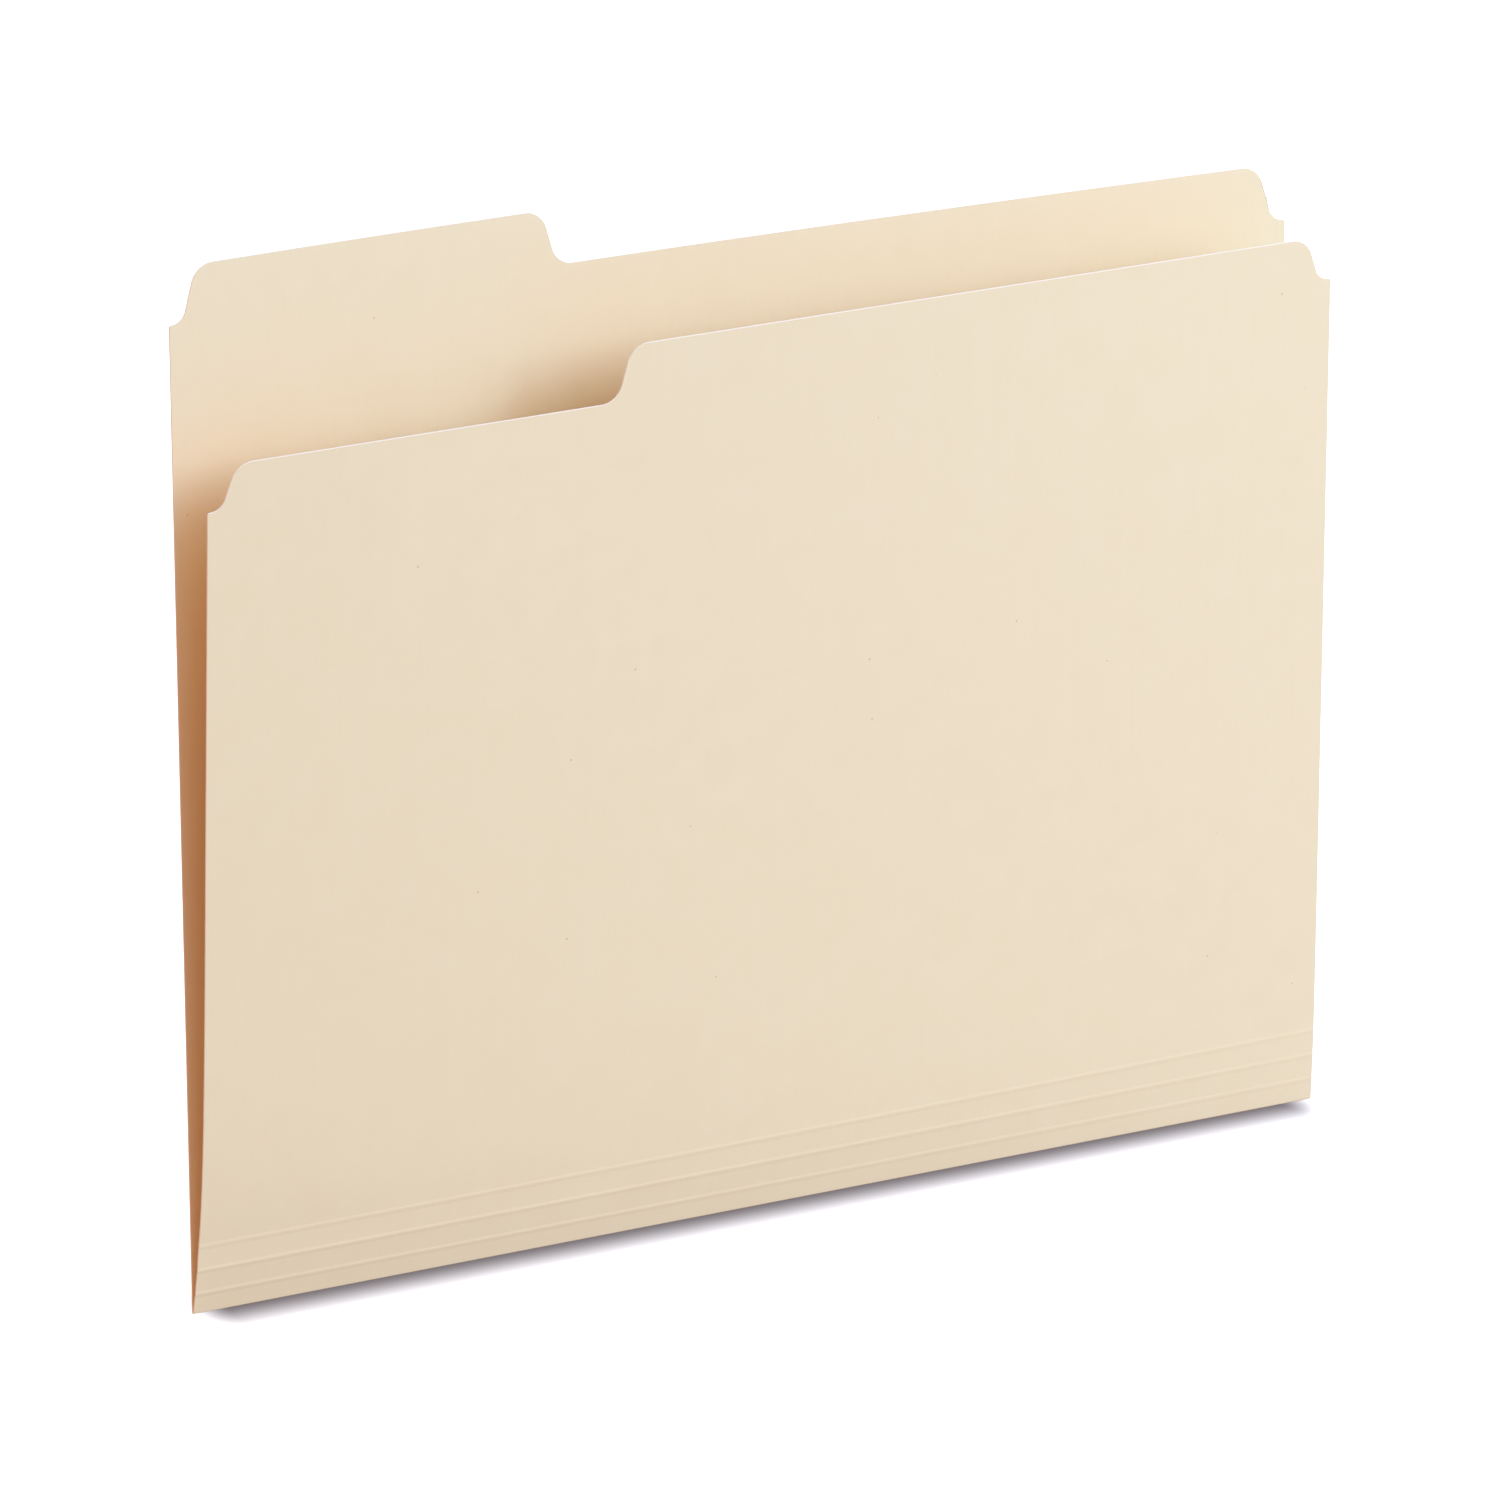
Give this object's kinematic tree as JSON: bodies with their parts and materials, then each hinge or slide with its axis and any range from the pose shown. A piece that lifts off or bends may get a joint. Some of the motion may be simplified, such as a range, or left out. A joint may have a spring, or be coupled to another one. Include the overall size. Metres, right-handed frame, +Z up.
{
  "type": "manila folder",
  "caption": "Letter-size card file folder with a raised tab at the left of its back leaf, a lower front leaf, and a scored gusset beside the bottom fold that spreads to hold thicker papers.",
  "frame": {"origin": "under the middle of the main fold, on the surface that the folder stands on", "axes": "+X along the fold to the right as seen from the front, -Y towards the front leaf, +Z up"},
  "size_m": [0.2984, 0.0231, 0.2413],
  "materials": {
    "manila_card": "uncoated buff manila card, matte, with fine fibre mottling"
  },
  "bodies": {
    "spine": {"main_fold": "manila_card"},
    "back": {"back_leaf": "manila_card"},
    "lower_strip": {"lower_gusset": "manila_card", "first_score": "manila_card"},
    "middle_strip": {"middle_gusset": "manila_card", "second_score": "manila_card"},
    "upper_strip": {"upper_gusset": "manila_card", "third_score": "manila_card"},
    "front": {"front_leaf": "manila_card"}
  },
  "joints": [
    {"name": "back_open", "type": "hinge", "parent": "spine", "child": "back", "pos_m": [0, 0, 0.00035], "axis": [-1, 0, 0], "range_deg": [-3, 84.5]},
    {"name": "front_open", "type": "hinge", "parent": "spine", "child": "lower_strip", "pos_m": [0, 0, 0.00035], "axis": [1, 0, 0], "range_deg": [-1.5, 75]},
    {"name": "first_score_bend", "type": "hinge", "parent": "lower_strip", "child": "middle_strip", "pos_m": [0, -0.0012, 0.00531], "axis": [-1, 0, 0], "range_deg": [-30, 0]},
    {"name": "second_score_bend", "type": "hinge", "parent": "middle_strip", "child": "upper_strip", "pos_m": [0, -0.00228, 0.01142], "axis": [-1, 0, 0], "range_deg": [-30, 0]},
    {"name": "third_score_bend", "type": "hinge", "parent": "upper_strip", "child": "front", "pos_m": [0, -0.00303, 0.01757], "axis": [-1, 0, 0], "range_deg": [-30, 0]}
  ]
}
